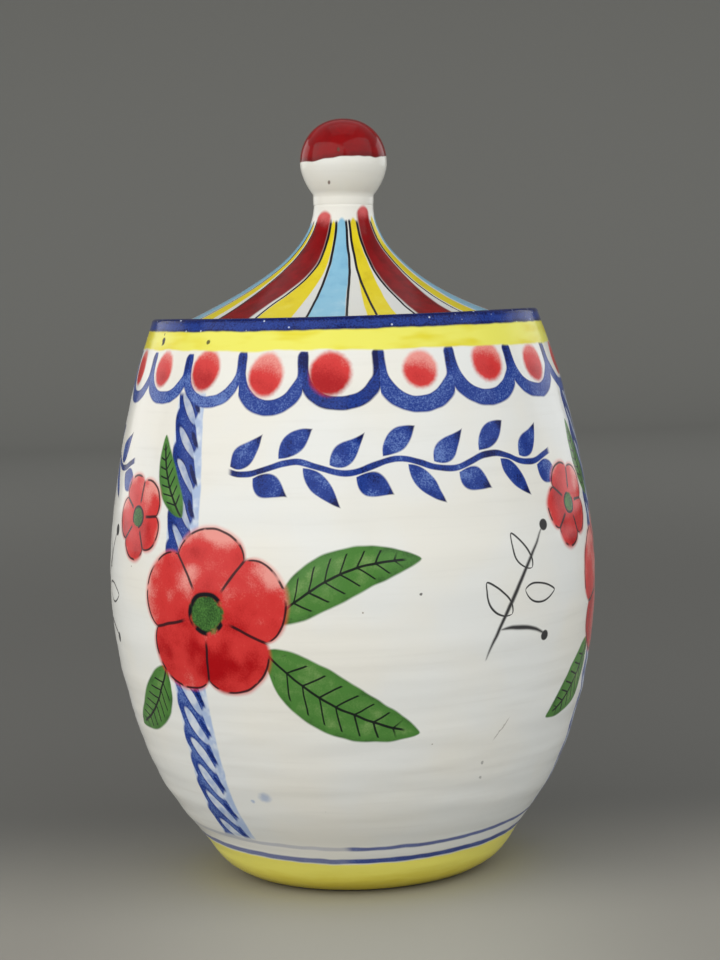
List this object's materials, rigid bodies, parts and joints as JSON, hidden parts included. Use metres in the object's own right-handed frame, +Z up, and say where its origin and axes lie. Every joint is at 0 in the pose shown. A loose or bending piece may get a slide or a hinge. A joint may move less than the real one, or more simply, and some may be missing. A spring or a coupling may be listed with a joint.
{
  "type": "lidded biscuit jar",
  "caption": "Barrel-shaped glazed earthenware jar on a low foot ring, with a flared tent-shaped lid and ball knob that drops onto a ledge inside the rim.",
  "frame": {"origin": "on the table under the middle of the jar", "axes": "+Z up through the middle of the jar, lid and knob; -Y is the side pictured"},
  "size_m": [0.18, 0.18, 0.2772],
  "materials": {
    "painted_jar_glaze": "glossy off-white tin glaze, hand painted with cobalt blue scallops, lemon bands and sponged red flowers",
    "painted_lid_glaze": "glossy off-white glaze under brushed red, yellow and pale blue stripes with thin black lines",
    "knob_glaze": "glossy deep red cap over an off-white ball, with a wavy lower edge and small pinholes",
    "inside_glaze": "plain off-white glaze",
    "bare_clay": "unglazed buff earthenware, wiped and lightly sanded"
  },
  "bodies": {
    "jar": {"foot_ring": "bare_clay", "jar_floor": "inside_glaze", "lower_wall": "painted_jar_glaze", "upper_wall": "painted_jar_glaze", "rim_collar": "painted_jar_glaze", "mouth_ledge": "inside_glaze"},
    "lid": {"lid_roof": "painted_lid_glaze", "lid_locating_ring": "inside_glaze", "lid_knob": "knob_glaze"}
  },
  "joints": [
    {"name": "lid_lift", "type": "slide", "parent": "jar", "child": "lid", "axis": [0, 0, 1], "range_m": [0, 0.15]}
  ]
}
